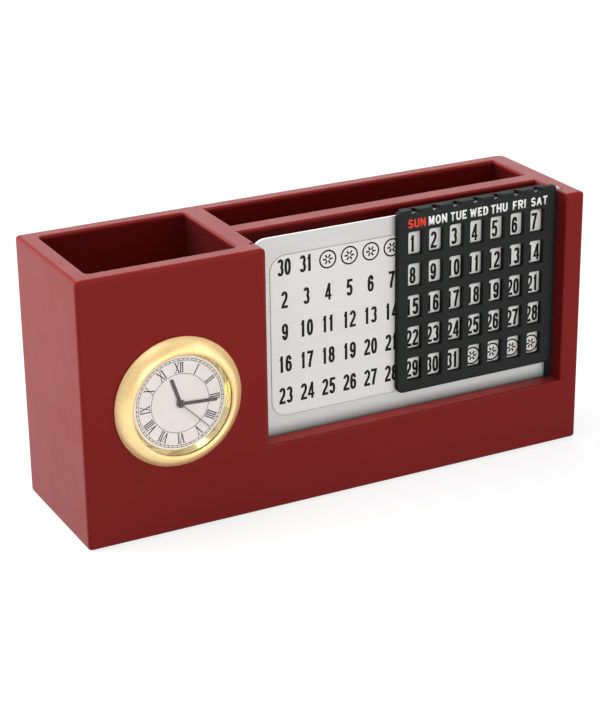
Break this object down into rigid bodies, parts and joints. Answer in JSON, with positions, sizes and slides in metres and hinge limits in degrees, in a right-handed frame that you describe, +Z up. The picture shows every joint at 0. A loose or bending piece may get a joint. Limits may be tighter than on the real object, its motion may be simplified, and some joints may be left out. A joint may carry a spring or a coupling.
{
  "type": "desk calendar organiser",
  "caption": "Wooden desk organiser with a pen well, narrow slots, a sliding-frame perpetual calendar on a steel plate and an inset round clock.",
  "frame": {"origin": "centre of the footprint, felt pads to bezel front, at the table surface", "axes": "+X to the right along the case, -Y towards the reader, +Z up"},
  "size_m": [0.203, 0.062, 0.1028],
  "materials": {
    "maroon_lacquer": "smooth satin maroon lacquer over glued boards",
    "pad_felt": "pressed felt",
    "brushed_plate": "stainless sheet brushed along its length",
    "printed_film": "thin clear film with black printing, seen as the steel under it",
    "black_frame": "satin black moulding with white and red printing",
    "gold_ring": "polished pale gold plating",
    "clock_glass": "clear flat glass",
    "dial_white": "matt white with black printing",
    "hand_black": "dark satin paint",
    "rear_case_black": "moulded black plastic",
    "band_rubber": "translucent grey silicone",
    "movement_plastic": "moulded off-white plastic",
    "wheel_brass": "stamped brass wheel",
    "wheel_plastic": "moulded white plastic wheel",
    "magnet_grey": "sintered magnet",
    "steel_parts": "bright plated steel",
    "core_iron": "soft iron sheet",
    "coil_copper": "enamelled copper wire, wound",
    "board_green": "green circuit board",
    "chip_black": "potted chip"
  },
  "bodies": {
    "case": {"base_panel": "maroon_lacquer", "clock_panel": "maroon_lacquer", "front_rail": "maroon_lacquer", "left_side_panel": "maroon_lacquer", "right_side_panel": "maroon_lacquer", "back_panel": "maroon_lacquer", "well_divider": "maroon_lacquer", "slot_partition": "maroon_lacquer", "felt_pads": "pad_felt"},
    "calendar": {"date_plate": "brushed_plate", "date_label": "printed_film"},
    "week_slider": {"week_frame": "black_frame"},
    "clock_insert": {"clock_bezel": "gold_ring", "clock_lens": "clock_glass", "reveal_ring": "gold_ring", "clock_dial": "dial_white", "rear_case": "rear_case_black", "case_back": "rear_case_black", "grip_band": "band_rubber", "main_plate": "movement_plastic", "train_cover": "movement_plastic", "cover_screws": "steel_parts", "coil": "coil_copper", "coil_core": "core_iron", "stator": "core_iron", "circuit_board": "board_green", "quartz_can": "steel_parts", "timing_chip": "chip_black", "button_cell": "steel_parts", "battery_clip": "steel_parts"},
    "hour_motion": {"hour_hand": "hand_black", "hour_wheel": "wheel_brass"},
    "minute_motion": {"minute_hand": "hand_black", "cannon_pinion": "wheel_brass"},
    "setting_motion": {"setting_wheel": "wheel_plastic", "setting_knob": "rear_case_black"},
    "seconds_motion": {"seconds_hand": "hand_black", "seconds_wheel": "wheel_brass"},
    "centre_motion": {"centre_wheel": "wheel_brass"},
    "third_motion": {"third_wheel": "wheel_brass"},
    "step_motion": {"step_wheel": "wheel_plastic"},
    "rotor_motion": {"rotor_pinion": "wheel_plastic", "rotor_magnet": "magnet_grey"}
  },
  "joints": [
    {"name": "calendar_lift", "type": "slide", "parent": "case", "child": "calendar", "axis": [0, 0, 1], "range_m": [0, 0.0935]},
    {"name": "week_slide", "type": "slide", "parent": "calendar", "child": "week_slider", "axis": [1, 0, 0], "range_m": [-0.0544, 0.0008]},
    {"name": "clock_pull", "type": "slide", "parent": "case", "child": "clock_insert", "axis": [0, -1, 0], "range_m": [0, 0.0125]},
    {"name": "minute_hand_turn", "type": "hinge", "parent": "clock_insert", "child": "minute_motion", "pos_m": [-0.066, -0.026, 0.0502], "axis": [0, 1, 0], "continuous": true},
    {"name": "hour_hand_turn", "type": "hinge", "parent": "clock_insert", "child": "hour_motion", "pos_m": [-0.066, -0.026, 0.0502], "axis": [0, 1, 0], "continuous": true},
    {"name": "setting_knob_turn", "type": "hinge", "parent": "clock_insert", "child": "setting_motion", "pos_m": [-0.066, -0.026, 0.04444], "axis": [0, 1, 0], "continuous": true},
    {"name": "seconds_hand_turn", "type": "hinge", "parent": "clock_insert", "child": "seconds_motion", "pos_m": [-0.066, -0.026, 0.0502], "axis": [0, 1, 0], "continuous": true},
    {"name": "centre_wheel_turn", "type": "hinge", "parent": "clock_insert", "child": "centre_motion", "pos_m": [-0.066, -0.026, 0.0502], "axis": [0, 1, 0], "continuous": true},
    {"name": "third_wheel_turn", "type": "hinge", "parent": "clock_insert", "child": "third_motion", "pos_m": [-0.07071, -0.026, 0.05292], "axis": [0, 1, 0], "continuous": true},
    {"name": "step_wheel_turn", "type": "hinge", "parent": "clock_insert", "child": "step_motion", "pos_m": [-0.06074, -0.026, 0.05212], "axis": [0, 1, 0], "continuous": true},
    {"name": "rotor_turn", "type": "hinge", "parent": "clock_insert", "child": "rotor_motion", "pos_m": [-0.05714, -0.026, 0.05212], "axis": [0, 1, 0], "continuous": true}
  ],
  "couplings": [
    {"joint": "hour_hand_turn", "follows": "minute_hand_turn", "ratio": 0.083333},
    {"joint": "setting_knob_turn", "follows": "minute_hand_turn", "ratio": -0.33333},
    {"joint": "third_wheel_turn", "follows": "seconds_hand_turn", "ratio": -0.125},
    {"joint": "centre_wheel_turn", "follows": "seconds_hand_turn", "ratio": 0.016667},
    {"joint": "step_wheel_turn", "follows": "seconds_hand_turn", "ratio": -6},
    {"joint": "rotor_turn", "follows": "seconds_hand_turn", "ratio": 30}
  ]
}
